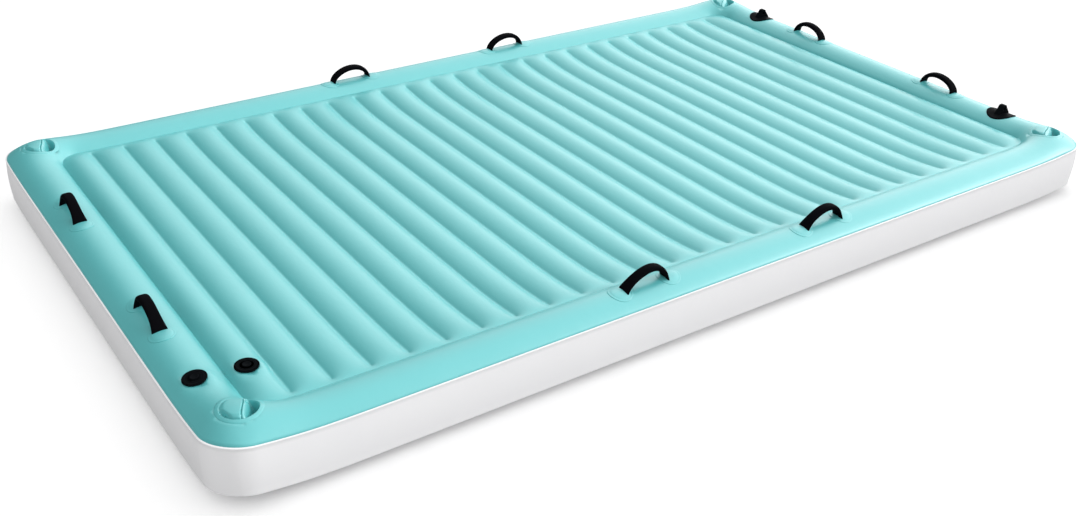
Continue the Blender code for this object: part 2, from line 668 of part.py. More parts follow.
def add_tow_eye(name, place_y):
    frame = add_frame(f"{name}_frame", (END_CREST_X, place_y, HEIGHT), 90)
    disc = draped_disc(name, TOW_DISC_RADIUS, TOW_DISC_THICKNESS, Vector(), END_BORDER,
                       BLACK_PLASTIC, frame)
    lug = as_helper(prism(f"{name}_lug", lug_outline(), LUG_THICKNESS, "X", BLACK_PLASTIC, frame))
    deck_cover = as_helper(draped_disc(f"{name}_trim", TOW_DISC_RADIUS, LUG_HEIGHT + OVERRUN,
                                       Vector(), END_BORDER, BLACK_PLASTIC, frame))
    combine(lug, deck_cover, "INTERSECT")
    combine(disc, lug, "UNION")
    steps = range(SMALL_ROUND_STEPS)
    turns = [2 * math.pi * step / SMALL_ROUND_STEPS for step in steps]
    circle = [(EYE_RADIUS * math.cos(a), EYE_HEIGHT + EYE_RADIUS * math.sin(a)) for a in turns]
    eye = prism(f"{name}_hole", circle, LUG_THICKNESS + OVERRUN, "X", BLACK_PLASTIC, frame)
    combine(disc, as_helper(eye), "DIFFERENCE")


add_tow_eye("tow_eye_near", TOW_SIDE_INSET - WIDTH / 2)
add_tow_eye("tow_eye_far", WIDTH / 2 - TOW_SIDE_INSET)
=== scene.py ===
import json
import math

import bmesh
import bpy
import numpy as np
from mathutils import Matrix

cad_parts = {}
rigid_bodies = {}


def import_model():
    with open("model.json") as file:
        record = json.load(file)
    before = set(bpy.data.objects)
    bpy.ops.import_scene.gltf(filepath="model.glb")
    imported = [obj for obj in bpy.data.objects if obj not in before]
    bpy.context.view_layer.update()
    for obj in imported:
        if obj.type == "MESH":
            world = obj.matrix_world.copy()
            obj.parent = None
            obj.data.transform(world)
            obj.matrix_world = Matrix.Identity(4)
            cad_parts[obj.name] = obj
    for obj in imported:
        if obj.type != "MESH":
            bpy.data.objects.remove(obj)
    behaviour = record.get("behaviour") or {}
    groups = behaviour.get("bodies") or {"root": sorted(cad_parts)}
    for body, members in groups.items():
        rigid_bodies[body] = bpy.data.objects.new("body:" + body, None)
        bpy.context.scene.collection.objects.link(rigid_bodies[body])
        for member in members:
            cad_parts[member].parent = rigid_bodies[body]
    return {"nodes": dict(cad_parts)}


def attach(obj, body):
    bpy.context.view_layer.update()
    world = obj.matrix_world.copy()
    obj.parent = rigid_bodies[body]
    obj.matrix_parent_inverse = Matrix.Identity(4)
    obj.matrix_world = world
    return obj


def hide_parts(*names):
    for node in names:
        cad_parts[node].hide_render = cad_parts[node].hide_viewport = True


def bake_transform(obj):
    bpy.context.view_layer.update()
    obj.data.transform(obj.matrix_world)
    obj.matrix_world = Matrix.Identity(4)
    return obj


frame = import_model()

for leftover in [bpy.data.objects.get(name) for name in ("Cube", "Camera", "Light")]:
    if leftover:
        bpy.data.objects.remove(leftover, do_unlink=True)
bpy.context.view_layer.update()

# Deck. One sheet of teal vinyl, welded to the side wall all round, to the bulkhead along the panel
# line and to the folded web inside along every groove. Air pressure rounds it between these welds.

# Lengths are in metres. Pairs such as SEAM are half sizes along x and y. A lift is a share of the
# pull that would swell a rib to its full crest. A corner has its sides, its rise and the reach of it.
SEAM = 1.546, 0.921
LINE = 1.404, 0.787
SEAM_RADIUS, LINE_RADIUS = 0.1, 0.07
RIBS = 27
RIB_PITCH = 2 * LINE[0] / RIBS
GROOVE_TIP, TIP_TAPER = 0.7625, 0.02
VINYL = 0.0005
DECK_SEAM, DECK_LINE, DECK_GROOVE, RIB_CREST = 0.152, 0.1575, 0.154, 0.173
VALLEY, VALLEY_BEND = 0.005, 73
AIR_LIFT = 8 * (RIB_CREST - DECK_GROOVE - VALLEY_BEND * VALLEY**2) / (RIB_PITCH - 2 * VALLEY) ** 2
SIDE_LIFT, END_LIFT, RIB_LIFT = 0.9, 0.765, 0.73
FIRST_RIB_REACH = 0.12
DECK_SAG = 0.0245
SAG_LEFT, SAG_RIGHT, SAG_ACROSS = 3, 9, 8
CORNER_RISES = (
    (-1, -1, 0.021, 0.165), (1, -1, 0.014, 0.16), (1, 1, 0.012, 0.16), (-1, 1, 0.014, 0.16),
)

RIB_COLUMNS = 0, 0.0025, 0.005, 0.009, 0.0145, 0.021, 0.0285, 0.0365, 0.0445
BORDER_STEPS = 16
EVEN_ROWS_END = 0.70
middle_rows = np.linspace(0, 1, 23)
half_rows = np.concatenate((
    EVEN_ROWS_END * (1.45 * middle_rows - 0.45 * middle_rows**2),
    np.linspace(EVEN_ROWS_END, GROOVE_TIP, 10)[1:],
    np.linspace(GROOVE_TIP, LINE[1], 6)[1:],
    np.linspace(LINE[1], SEAM[1], BORDER_STEPS + 1)[1:],
))
rows = np.concatenate((-half_rows[:0:-1], half_rows))
one_rib = np.array((*RIB_COLUMNS, RIB_PITCH / 2, *[RIB_PITCH - at for at in RIB_COLUMNS[:0:-1]]))
columns = np.concatenate((
    np.linspace(-SEAM[0], -LINE[0], BORDER_STEPS + 1)[:-1],
    (np.arange(RIBS)[:, None] * RIB_PITCH - LINE[0] + one_rib).ravel(),
    np.linspace(LINE[0], SEAM[0], BORDER_STEPS + 1),
))


def ringed(flat_x, flat_y):
    """Turns a square grid into rounded rings. A point's share is how far in from the seam it lies,
    with 1 at the panel line. On its ring it keeps its place, but past the start of a corner it moves
    onto the corner's arc, 45 degrees from each side. The corner radius shrinks steadily inwards."""
    end, side = SEAM[0] - LINE[0], SEAM[1] - LINE[1]
    share = np.minimum((SEAM[0] - abs(flat_x)) / end, (SEAM[1] - abs(flat_y)) / side)
    inside = LINE_RADIUS * np.clip(3 - 2 * share, 0, 1)
    radius = np.where(share < 1, SEAM_RADIUS + share * (LINE_RADIUS - SEAM_RADIUS), inside)
    centre_x = SEAM[0] - share * end - radius
    centre_y = SEAM[1] - share * side - radius
    over_x, over_y = abs(flat_x) - centre_x, abs(flat_y) - centre_y
    on_arc = (np.minimum(over_x, over_y) > 0) & (radius > 0)
    ratio = np.minimum(over_x, over_y) / np.maximum(np.maximum(over_x, over_y), 1e-9)
    angle = np.where(over_y <= over_x, ratio, 2 - ratio) * math.pi / 4
    x = np.where(on_arc, centre_x + radius * np.cos(angle), abs(flat_x))
    y = np.where(on_arc, centre_y + radius * np.sin(angle), abs(flat_y))
    return np.sign(flat_x) * x, np.sign(flat_y) * y, share


def risen(x, y):
    """How far the mat curls up at its corners: at each, a bell over the distance to the corner."""
    total = np.zeros(np.shape(x))
    for side_x, side_y, rise, reach in CORNER_RISES:
        away = np.hypot(x - side_x * SEAM[0], y - side_y * SEAM[1])
        total = total + rise * np.exp(-((away / reach) ** 2))
    return total


def inflated(x, y, height, held, lift, rounds=160):
    """Height of a stretched sheet under air pressure. Every free point settles at the mean of its
    neighbours, weighed by the cotangents of the angles across each edge, plus the lift of the air on
    its share of the area. The balance of all points is found by the method of conjugate gradients."""
    place = np.arange(x.size).reshape(x.shape)
    p, q, r, s = place[:-1, :-1], place[:-1, 1:], place[1:, 1:], place[1:, :-1]
    same = (x[:-1, :-1] + x[1:, 1:]) * (y[:-1, :-1] + y[1:, 1:]) > 0
    first = np.where(same, (p, q, r), (p, q, s)).reshape(3, -1)
    second = np.where(same, (p, r, s), (q, r, s)).reshape(3, -1)
    corners = np.concatenate((first, second), axis=1)
    flat = np.stack((x.ravel(), y.ravel()), axis=1)[corners]
    edges, weights = [], []
    for k in range(3):
        ahead = flat[(k + 1) % 3] - flat[k]
        behind = flat[(k + 2) % 3] - flat[k]
        area = ahead[:, 0] * behind[:, 1] - ahead[:, 1] * behind[:, 0]
        edges.append(corners[[(k + 1) % 3, (k + 2) % 3]])
        weights.append((ahead * behind).sum(axis=1) / np.maximum(area, 1e-9) / 2)
    start, finish = np.concatenate(edges, axis=1)
    weight = np.concatenate(weights)
    here, there = np.concatenate((start, finish)), np.concatenate((finish, start))
    weight = np.concatenate((weight, weight))
    total = np.bincount(here, weight, x.size)
    load = np.bincount(corners.ravel(), np.tile(area / 6, 3), x.size) * lift.ravel()
    free = ~held.ravel()

    def pull(z):
        return free * (total * z - np.bincount(here, weight * z[there], x.size))

    now = height.ravel()
    rest = free * load - pull(now)
    course = rest / total
    before = rest @ course
    for _ in range(rounds):
        bent = pull(course)
        step = before / (course @ bent)
        now = now + step * course
        rest = rest - step * bent
        after = rest @ (rest / total)
        course = rest / total + after / before * course
        before = after
    return now.reshape(x.shape)


def deck_sag(x, y):
    """How far the deck's grooves hang below those at its ends, as a share of the most. It is 1 less
    a power of the distance along, lower towards the left end, times 1 less one of that across."""
    left = np.clip(-x / (LINE[0] - RIB_PITCH), 0, 1) ** SAG_LEFT
    along = np.where(x < 0, left, abs(x / LINE[0]) ** SAG_RIGHT)
    return np.clip(1 - along, 0, 1) * np.clip(1 - abs(y / LINE[1]) ** SAG_ACROSS, 0, 1)


def quilted(seam, line, groove, shift, sag=0.0):
    """A whole sheet on the ringed grid: held at its seam, at the panel line and along its grooves,
    one to each rib pitch and shifted by a share of it, and lifted by air everywhere else. Each groove
    is a valley that rises with the square of the distance from it and narrows with the square root
    of the distance to its tip. The sag lowers all grooves towards the middle. The first rib is full."""
    flat_x, flat_y = np.meshgrid(columns, rows)
    x, y, share = ringed(flat_x, flat_y)
    at_seam = share < 1e-6
    at_line = abs(share - 1) < 1e-6
    pitch = (flat_x + LINE[0]) / RIB_PITCH + shift
    from_groove = abs(pitch - np.round(pitch)) * RIB_PITCH
    tip_width = VALLEY * np.sqrt(np.clip((GROOVE_TIP + 1e-6 - abs(flat_y)) / TIP_TAPER, 0, 1))
    on_groove = (from_groove < tip_width + 1e-6) & (share > 1 + 1e-6)
    on_groove &= abs(flat_y) < GROOVE_TIP + 1e-6
    valley = groove - sag * deck_sag(flat_x, flat_y)
    valley = valley + VALLEY_BEND * np.minimum(from_groove, VALLEY) ** 2
    height = np.select((at_seam, at_line), (seam, line), valley)
    at_end = (abs(flat_x) > LINE[0]) & (abs(flat_y) < LINE[1])
    first_rib = np.exp(-(((flat_x + LINE[0]) / FIRST_RIB_REACH) ** 4))
    rib_lift = RIB_LIFT + (1 - RIB_LIFT) * first_rib
    air = AIR_LIFT * np.select((at_end, share < 1), (END_LIFT, SIDE_LIFT), rib_lift)
    return x, y, inflated(x, y, height, at_seam | at_line | on_groove, air)


def grid_faces(count_u, count_v, around_u=False, around_v=False):
    """Quads between neighbours on a grid of count_u by count_v points, round it where it closes."""
    place = np.arange(count_u * count_v).reshape(count_u, count_v)
    if around_u:
        place = np.vstack((place, place[:1]))
    if around_v:
        place = np.hstack((place, place[:, :1]))
    quads = (place[:-1, :-1], place[1:, :-1], place[1:, 1:], place[:-1, 1:])
    return np.stack(quads, axis=-1).reshape(-1, 4)


def add_piece(name, points, faces, material, body, nodes=(), sharp_deg=40, merge=True):
    """Puts points and faces into a mesh. Doubles are merged, so poles close, and faces turn out."""
    mesh = bpy.data.meshes.new(name)
    mesh.from_pydata(points.reshape(-1, 3), [], faces.tolist())
    if merge:
        sculpt = bmesh.new()
        sculpt.from_mesh(mesh)
        bmesh.ops.remove_doubles(sculpt, verts=sculpt.verts, dist=1e-6)
        bmesh.ops.recalc_face_normals(sculpt, faces=sculpt.faces)
        sculpt.to_mesh(mesh)
        sculpt.free()
    mesh.shade_smooth()
    mesh.set_sharp_from_angle(angle=math.radians(sharp_deg))
    mesh.materials.append(material)
    added = bpy.data.objects.new(name, mesh)
    bpy.context.scene.collection.objects.link(added)
    if body:
        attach(added, body)
    if nodes:
        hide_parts(*nodes)
    return added


def thicken(added):
    """Gives an open sheet the thickness of the vinyl, inwards from the surface that shows."""
    sheet = added.modifiers.new("thickness", "SOLIDIFY")
    sheet.thickness = VINYL
    sheet.offset = -1
    sheet.use_even_offset = True


def start_material(name, ior):
    """A new material: its node tree, its shader and the object coordinates that its patterns use."""
    material = bpy.data.materials.new(name)
    material.use_nodes = True
    tree = material.node_tree
    shader = tree.nodes["Principled BSDF"]
    shader.inputs["IOR"].default_value = ior
    return material, tree, shader, tree.nodes.new("ShaderNodeTexCoord").outputs["Object"]


def add_noise(tree, place, scale, detail=2):
    """A noise pattern of a given number of cells per metre."""
    noise = tree.nodes.new("ShaderNodeTexNoise")
    noise.inputs["Scale"].default_value = scale
    noise.inputs["Detail"].default_value = detail
    tree.links.new(place, noise.inputs["Vector"])
    return noise.outputs["Fac"]


def add_shades(tree, pattern, first, second, socket):
    """A colour that drifts between two shades with a pattern, linked to a socket."""
    shade = tree.nodes.new("ShaderNodeMix")
    shade.data_type = "RGBA"
    shade.inputs["A"].default_value = (*first, 1)
    shade.inputs["B"].default_value = (*second, 1)
    tree.links.new(pattern, shade.inputs["Factor"])
    tree.links.new(shade.outputs["Result"], socket)


def add_bump(tree, pattern, strength, depth, under=None):
    """Relief of a given depth from a pattern, laid over the relief under it."""
    bump = tree.nodes.new("ShaderNodeBump")
    bump.inputs["Strength"].default_value = strength
    bump.inputs["Distance"].default_value = depth
    tree.links.new(pattern, bump.inputs["Height"])
    if under:
        tree.links.new(under, bump.inputs["Normal"])
    return bump.outputs["Normal"]


def vinyl(name, colour, deeper, roughness, ior=1.5):
    """Welded PVC sheet: a fine cast grain, slow unevenness left by the welding, and a colour that
    drifts a little between two shades."""
    material, tree, shader, place = start_material(name, ior)
    shader.inputs["Roughness"].default_value = roughness
    drift = add_noise(tree, place, scale=7, detail=4)
    add_shades(tree, drift, colour, deeper, shader.inputs["Base Color"])
    fine, slow = add_noise(tree, place, scale=1400, detail=3), add_noise(tree, place, scale=22)
    grain = add_bump(tree, fine, strength=0.25, depth=0.00012)
    uneven = add_bump(tree, slow, strength=0.5, depth=0.0012, under=grain)
    tree.links.new(uneven, shader.inputs["Normal"])
    return material


def smooth(part):
    """A smooth step from 0 to 1 as the part goes from 0 to 1: 3 times its square less 2 its cube."""
    part = np.clip(part, 0, 1)
    return part * part * (3 - 2 * part)


TEAL = vinyl("teal_vinyl_sheet", (0.094, 0.448, 0.461), (0.081, 0.425, 0.438), 0.4, ior=1.65)
WHITE = vinyl("white_vinyl_sheet", (0.85, 0.85, 0.86), (0.825, 0.825, 0.84), 0.42)
CUPS = {
    "far_right": (1.442, 0.815), "far_left": (-1.442, 0.815),
    "near_left": (-1.442, -0.815), "near_right": (1.442, -0.815),
}
MOUTH_RADIUS, MOUTH_WELD = 0.0455, 0.004
END_CREST, SIDE_CREST = 1.47784, 0.85668
BORDER_CREST = 0.185
VALVES = {
    "border_valve": (-END_CREST, -0.634, BORDER_CREST, -6),
    "rib_valve": (RIB_PITCH / 2 - LINE[0], -0.634, RIB_CREST, 0),
}
SOCKET_RADIUS, SEAT_DROP = 0.0203, 0.0004
SEAT_REACH, SEAT_BLEND = 0.056, 0.026

deck_x, deck_y, deck_z = quilted(DECK_SEAM, DECK_LINE, DECK_GROOVE, 0, sag=DECK_SAG)
deck_z = deck_z + risen(deck_x, deck_y)
for valve_x, valve_y, level, tilt_deg in VALVES.values():
    away = np.hypot(deck_x - valve_x, deck_y - valve_y)
    flat = smooth((SEAT_REACH - away) / SEAT_BLEND)
    seat = level - SEAT_DROP - math.tan(math.radians(tilt_deg)) * (deck_x - valve_x)
    deck_z = deck_z + flat * (seat - deck_z)
deck_faces = grid_faces(*deck_x.shape)[:, ::-1]
mid_x = deck_x.ravel()[deck_faces].mean(axis=1)
mid_y = deck_y.ravel()[deck_faces].mean(axis=1)
open_to = [(*spot, MOUTH_RADIUS + MOUTH_WELD) for spot in CUPS.values()]
open_to += [(*spot[:2], SOCKET_RADIUS) for spot in VALVES.values()]
shut = np.ones(len(deck_faces), bool)
for hole_x, hole_y, hole_radius in open_to:
    shut &= np.hypot(mid_x - hole_x, mid_y - hole_y) > hole_radius
deck_points = np.stack((deck_x, deck_y, deck_z), axis=-1)
deck = add_piece("deck", deck_points, deck_faces[shut], TEAL, "mat",
                 ("top_sheet",), 25, merge=False)
thicken(deck)

# Side wall. A band of white vinyl all round, welded to deck and underside with a raised weld bead at
# each edge, and pressed slightly outwards by the air.

# The profile holds pairs of a distance out from the seam and a height, from the foot bead upwards.
FOOT_SEAM, WALL_TOP = 0.0245, 0.1500
WALL_BULGE = 0.004
rise = np.linspace(0, 1, 15)[1:-1]
wall_out = WALL_BULGE * (1 - (2 * rise - 1) ** 2)
wall_face = np.stack((wall_out, FOOT_SEAM + rise * (WALL_TOP - FOOT_SEAM)), axis=1)
foot_bead = np.array(((-0.006, 0.0222), (-0.001, 0.0215), (0.0008, 0.0222), (0.0010, 0.0235)))
top_bead = np.array((
    (0.0004, WALL_TOP), (0.0012, 0.1512), (0.0014, 0.1524), (0.0010, 0.1536), (-0.0004, 0.1541),
    (-0.0030, 0.1543), (-0.0050, 0.1540),
))
wall_profile = np.concatenate((foot_bead, wall_face, top_bead))
seam_loop = np.concatenate((
    deck_points[0, :-1, :2], deck_points[:-1, -1, :2],
    deck_points[-1, :0:-1, :2], deck_points[:0:-1, 0, :2],
))
heading = np.roll(seam_loop, -1, axis=0) - np.roll(seam_loop, 1, axis=0)
outward = np.stack((heading[:, 1], -heading[:, 0]), axis=1) / np.linalg.norm(heading, axis=1)[:, None]
wall_points = np.concatenate((
    seam_loop[:, None] + outward[:, None] * wall_profile[None, :, :1],
    wall_profile[None, :, 1:] + risen(*seam_loop.T)[:, None, None],
), axis=2)
wall_faces = grid_faces(len(seam_loop), len(wall_profile), around_u=True)
wall = add_piece("side_band", wall_points, wall_faces, WHITE, "mat", ("side_wall",), 50,
                 merge=False)
thicken(wall)

# Underside. One sheet of white vinyl, made as the deck is, with its grooves half a rib from the
# deck's. What would hang below the ground line is pressed flat where the mat stands.

# The sheet is worked out upside down, so its heights have the other sign.
UNDER_LINE, UNDER_GROOVE = 0.0275, 0.031
under_x, under_y, under_z = quilted(-FOOT_SEAM, -UNDER_LINE, -UNDER_GROOVE, 0.5)
under_points = np.stack((under_x, under_y, np.maximum(risen(under_x, under_y) - under_z, 0)), axis=-1)
underside = add_piece("underside", under_points, grid_faces(*under_x.shape), WHITE, "mat",
                      ("bottom_sheet",), 25, merge=False)
thicken(underside)

# Bulkhead. A white vinyl wall under the panel line, welded to deck and underside. It parts the air of
# the border from that of the ribs. It is inside and keeps its solid, with the vinyl's own material.


def dress(node_name, material):
    """Gives a solid that no piece of the scene replaces a material in place of its own."""
    materials = frame["nodes"][node_name].data.materials
    materials.clear()
    materials.append(material)


dress("chamber_wall", WHITE)

# Folded web. One long strip of white vinyl inside the ribbed chamber. It runs up and down between the
# grooves of deck and underside and is welded to each along a narrow land, which keeps the ribs in line.
HALF_LAND, WEB_HALF_WIDTH = 0.0035, 0.7
UNDER_DECK, OVER_UNDERSIDE = 0.0014, 0.0008
fold = np.arange(1 - RIBS, RIBS)
fold_x = (fold[:, None] * RIB_PITCH / 2 + (-HALF_LAND, HALF_LAND)).ravel()
at_top = np.repeat((fold + RIBS) % 2 == 0, 2)
web_rows = np.linspace(-WEB_HALF_WIDTH, WEB_HALF_WIDTH, 41)
web_x, web_y = np.meshgrid(fold_x, web_rows, indexing="ij")
hung = DECK_GROOVE - DECK_SAG * deck_sag(web_x, web_y) - UNDER_DECK
web_z = np.where(at_top[:, None], hung, UNDER_GROOVE + OVER_UNDERSIDE)
web_points = np.stack((web_x, web_y, web_z), axis=-1)
add_piece("web", web_points, grid_faces(*web_x.shape), WHITE, "mat", ("folded_web",),
          25, merge=False)

# Cup holders. Each is a thin vinyl sleeve with a round floor, hung from its weld round the mouth. With
# no cup in it, the air round the sleeve pushes its wall up into the mouth and leaves two open lobes.

# A pocket has the turn of its lobes in degrees, the depths of both and the fold's place. This place,
# the names with RIM and PLACE and the slit's spread are shares of the mouth's radius. The rim's rows
# hold the distance out from the mouth and how proud it stands there.
around = np.linspace(0, 2 * math.pi, 121)[:-1]
NEAR, NEAR_ROWS = 0.009, 1.3
LOBE_REACH, SLANT_WIDTH, CREASE_WIDTH, SLIT_REACH = 0.034, 0.006, 0.0014, 0.02
DEEP_RIM, SHALLOW_RIM, CREASE_RIM, DOME_RIM = 0.2, 0.3, 0.08, 0.3
SLIT_PLACE, SLIT_SPREAD = 0.05, 0.035
SLANT_PLACE, SLANT_AIM = (-0.95, 0.15), (-0.85, -0.526)
BOW_TURN, BOW_START = 2.2, 0.5
FOLD_BOW, CREASE_DEPTH, SLIT_DEPTH, DOME_HEIGHT = 0.004, 0.005, 0.004, 0.004
RIM = (
    (-0.003, 0.0), (-0.0005, 0.0009), (0.0015, 0.0011), (0.004, 0.0008), (0.0095, 0.0006),
    (0.0105, -0.0012),
)
POCKETS = {
    "near_left": (-18, 0.048, 0.022, 0.14), "near_right": (-59, 0.036, 0.026, 0.0),
    "far_right": (-44, 0.034, 0.026, -0.05), "far_left": (-10, 0.036, 0.026, 0.1),
}


def deck_height(x, y):
    """Height of the deck under any points: round each point a quadratic surface is fitted to the
    deck's own points, near ones weighing most, and read at the point itself. Near means within 9 mm
    or, where the rows lie further apart, within 1.3 rows."""
    ask = np.stack((np.ravel(x), np.ravel(y)), axis=1)
    row_gap = np.interp(ask[:, 1], rows, np.gradient(rows))
    reach = np.stack((np.full(len(ask), NEAR), np.maximum(NEAR, NEAR_ROWS * row_gap)), axis=1)
    known = deck_points.reshape(-1, 3)
    low, high = (ask - 4 * reach).min(axis=0), (ask + 4 * reach).max(axis=0)
    known = known[((known[:, :2] > low) & (known[:, :2] < high)).all(axis=1)]
    away = (known[None, :, :2] - ask[:, None]) / reach[:, None]
    weight = np.exp(-(away**2).sum(axis=2) / 2)
    u, v = away[..., 0], away[..., 1]
    terms = np.stack((np.ones_like(u), u, v, u * u, u * v, v * v), axis=2)
    weighted = terms * weight[..., None]
    square = weighted.transpose(0, 2, 1) @ terms
    side = weighted.transpose(0, 2, 1) @ known[:, 2]
    return np.linalg.solve(square, side[..., None])[:, 0, 0].reshape(np.shape(x))


def pocket_points(centre, lobe_deg, deep, shallow, split):
    """Rings from the weld over the deck, in across the rim and the pushed-up wall to the middle. The
    deep lobe opens past a bowed fold beside the middle. It falls gently from the fold and rises
    steeply to the rim. The shallow lobe lies past a slanting fold on the other side and is steep at
    the fold. Each one's depth is the product of two smooth steps, from the fold and from the rim. A
    crease follows the bowed fold and a slit the rim between the lobes, both as bells, and what is
    left domes up."""
    rings = np.concatenate((
        MOUTH_RADIUS + np.array((0.0105, 0.0095, 0.006, 0.0032, 0.0018, 0.0008)),
        MOUTH_RADIUS * np.array((1, 0.985, 0.97, 0.95, 0.925, 0.895, 0.86, 0.82)),
        MOUTH_RADIUS * np.linspace(0.775, 0, 26),
    ))[:, None]
    proud = np.interp(rings - MOUTH_RADIUS, *np.array(RIM).T)
    u, v = rings * np.cos(around), rings * np.sin(around)
    inside = np.clip(1 - rings / MOUTH_RADIUS, 0, 1)
    past_fold = u - split * MOUTH_RADIUS - FOLD_BOW * np.sin(BOW_TURN * v / MOUTH_RADIUS + BOW_START)
    deep_part = smooth(past_fold / LOBE_REACH) * smooth(inside / DEEP_RIM)
    past_slant = SLANT_AIM[0] * (u - SLANT_PLACE[0] * MOUTH_RADIUS)
    past_slant = past_slant + SLANT_AIM[1] * (v - SLANT_PLACE[1] * MOUTH_RADIUS)
    shallow_part = smooth(past_slant / SLANT_WIDTH) * smooth(inside / SHALLOW_RIM)
    crease = np.exp(-((past_fold / CREASE_WIDTH) ** 2)) * smooth(inside / CREASE_RIM)
    slit = np.exp(-(((inside - SLIT_PLACE) / SLIT_SPREAD) ** 2)) * smooth(-v / SLIT_REACH)
    dome = smooth(inside / DOME_RIM) * (1 - deep_part) * (1 - shallow_part)
    drop = deep * deep_part + shallow * shallow_part + CREASE_DEPTH * crease + SLIT_DEPTH * slit
    drop = drop - DOME_HEIGHT * dome
    turn = math.radians(lobe_deg)
    x = centre[0] + math.cos(turn) * u - math.sin(turn) * v
    y = centre[1] + math.sin(turn) * u + math.cos(turn) * v
    return np.stack((x, y, deck_height(x, y) + proud - drop), axis=-1)


for corner, centre in CUPS.items():
    points = pocket_points(centre, *POCKETS[corner])
    add_piece(f"pocket_{corner}", points, grid_faces(*points.shape[:2], around_v=True), TEAL, "mat",
              (f"cup_{corner}_sleeve", f"cup_{corner}_floor"), 75)

# Handle patches and straps. Each strap is a smooth moulded black band that arches over two feet. The
# feet widen and go down through a round teal vinyl patch, welded to the deck over their flange.

# Each handle has its place, its turn in degrees and how far its top leans along. The fullness of an
# arch is lower where its top is rounder.
PATCH_OFFSET = 0.012
HANDLE_SPAN, HANDLE_RISE, FOOT_LIFT = 0.138, 0.0415, 0.0015
STRAP_WIDTH, STRAP_THICKNESS = 0.03, 0.016
FOOT_WIDTH, FOOT_THICKNESS = 0.041, 0.007
SETTLE_HEIGHT, LEAST_LIFT = 0.02, 0.0005
FLATTEN_WIDTH, FLATTEN_THICKNESS = 0.6, 0.75
DARKER, PALER, SHEEN_DRIFT = 0.8, 1.25, 0.06
SIDE_HANDLE, END_HANDLE = 0.3348, 0.330225
FULLNESS = {"near": 0.84, "far": 0.6, "right": 0.55, "left": 0.78}
HANDLES = {}
for tag, sign in (("left", -1), ("right", 1)):
    near_x = sign * SIDE_HANDLE - 0.004 - 0.006 * sign
    HANDLES[f"near_{tag}_handle"] = ((near_x, -SIDE_CREST), 0, 0.016)
    HANDLES[f"far_{tag}_handle"] = ((sign * SIDE_HANDLE, SIDE_CREST), 180, -0.006)
for tag, sign in (("near", -1), ("far", 1)):
    HANDLES[f"right_{tag}_handle"] = ((END_CREST, sign * END_HANDLE), 90, 0.004)
    HANDLES[f"left_{tag}_handle"] = ((-END_CREST, sign * END_HANDLE), 270, -0.02)


def height_at(place):
    """Height of the deck under one place."""
    return float(deck_height(np.array([place[0]]), np.array([place[1]]))[0])


def plastic(name, colour, roughness, grain):
    """Black moulded plastic with a faint cast grain and a sheen that varies slightly."""
    material, tree, shader, place = start_material(name, 1.04)
    patchy = add_noise(tree, place, scale=60, detail=4)
    darker, paler = [DARKER * part for part in colour], [PALER * part for part in colour]
    add_shades(tree, patchy, darker, paler, shader.inputs["Base Color"])
    gloss = tree.nodes.new("ShaderNodeMapRange")
    gloss.inputs["To Min"].default_value = roughness - SHEEN_DRIFT
    gloss.inputs["To Max"].default_value = roughness + SHEEN_DRIFT
    tree.links.new(patchy, gloss.inputs["Value"])
    tree.links.new(gloss.outputs["Result"], shader.inputs["Roughness"])
    cast = add_bump(tree, add_noise(tree, place, scale=1800), strength=grain, depth=0.0001)
    tree.links.new(cast, shader.inputs["Normal"])
    return material


STRAP_BLACK = plastic("strap_black", (0.003, 0.003, 0.004), 0.55, 0.3)
MOULDED_BLACK = plastic("moulded_black", (0.004, 0.005, 0.006), 0.42, 0.2)


def disc_points(centre, profile):
    """A closed profile of (radius, lift) turned about an upright line through the centre, each point
    raised by the deck's height under it."""
    radius, lift = np.array(profile).T[:, :, None]
    x = centre[0] + radius * np.cos(around)
    y = centre[1] + radius * np.sin(around)
    return np.stack((x, y, deck_height(x, y) + lift), axis=-1)


patch_profile = (
    (0, 0.0030), (0.010, 0.0030), (0.016, 0.0029), (0.021, 0.0027), (0.025, 0.0022), (0.0275, 0.0014),
    (0.0288, 0.0011), (0.0305, 0.0013), (0.0328, 0.0012), (0.0340, 0.0008), (0.0342, 0.0002),
    (0.0338, -0.0004), (0.025, -0.0004), (0.012, -0.0004), (0, -0.0004),
)


def strap_points(place, turn_deg, skew, fullness):
    """A superellipse section carried along an arch. The arch rises by 1 less the square of how far out
    from the middle it is, to the power of its fullness, and its top is pushed along by the skew. Close
    to the feet the section widens with the 7th power of how far out it is, thins with the 6th, and
    settles from the level of the crest onto the deck."""
    turn = np.linspace(0, math.pi, 81)[:, None]
    lean = -np.cos(turn)
    out = abs(lean)
    along = HANDLE_SPAN / 2 * lean + skew * (1 - out**2)
    climb = HANDLE_RISE * np.clip(1 - out**2, 0, 1) ** fullness
    run, slope = np.gradient(along[:, 0])[:, None], np.gradient(climb[:, 0])[:, None]
    length = np.hypot(slope, run)
    normal_along, normal_up = -slope / length, run / length
    half = (STRAP_WIDTH + (FOOT_WIDTH - STRAP_WIDTH) * out**7) / 2
    deep = (STRAP_THICKNESS + (FOOT_THICKNESS - STRAP_THICKNESS) * out**6) / 2
    loop = np.linspace(0, 2 * math.pi, 41)[:-1][None]
    across = half * np.sign(np.cos(loop)) * abs(np.cos(loop)) ** FLATTEN_WIDTH
    thick = deep * np.sign(np.sin(loop)) * abs(np.sin(loop)) ** FLATTEN_THICKNESS
    u, v = along + thick * normal_along, across + 0 * along
    c, s = math.cos(math.radians(turn_deg)), math.sin(math.radians(turn_deg))
    x = place[0] + c * u - s * v
    y = place[1] + s * u + c * v
    settle = np.clip(climb / SETTLE_HEIGHT, 0, 1)
    base = (1 - settle) * deck_height(x, y) + settle * height_at(place)
    z = base + np.maximum(FOOT_LIFT + climb + thick * normal_up, LEAST_LIFT)
    return np.stack((x, y, z), axis=-1)


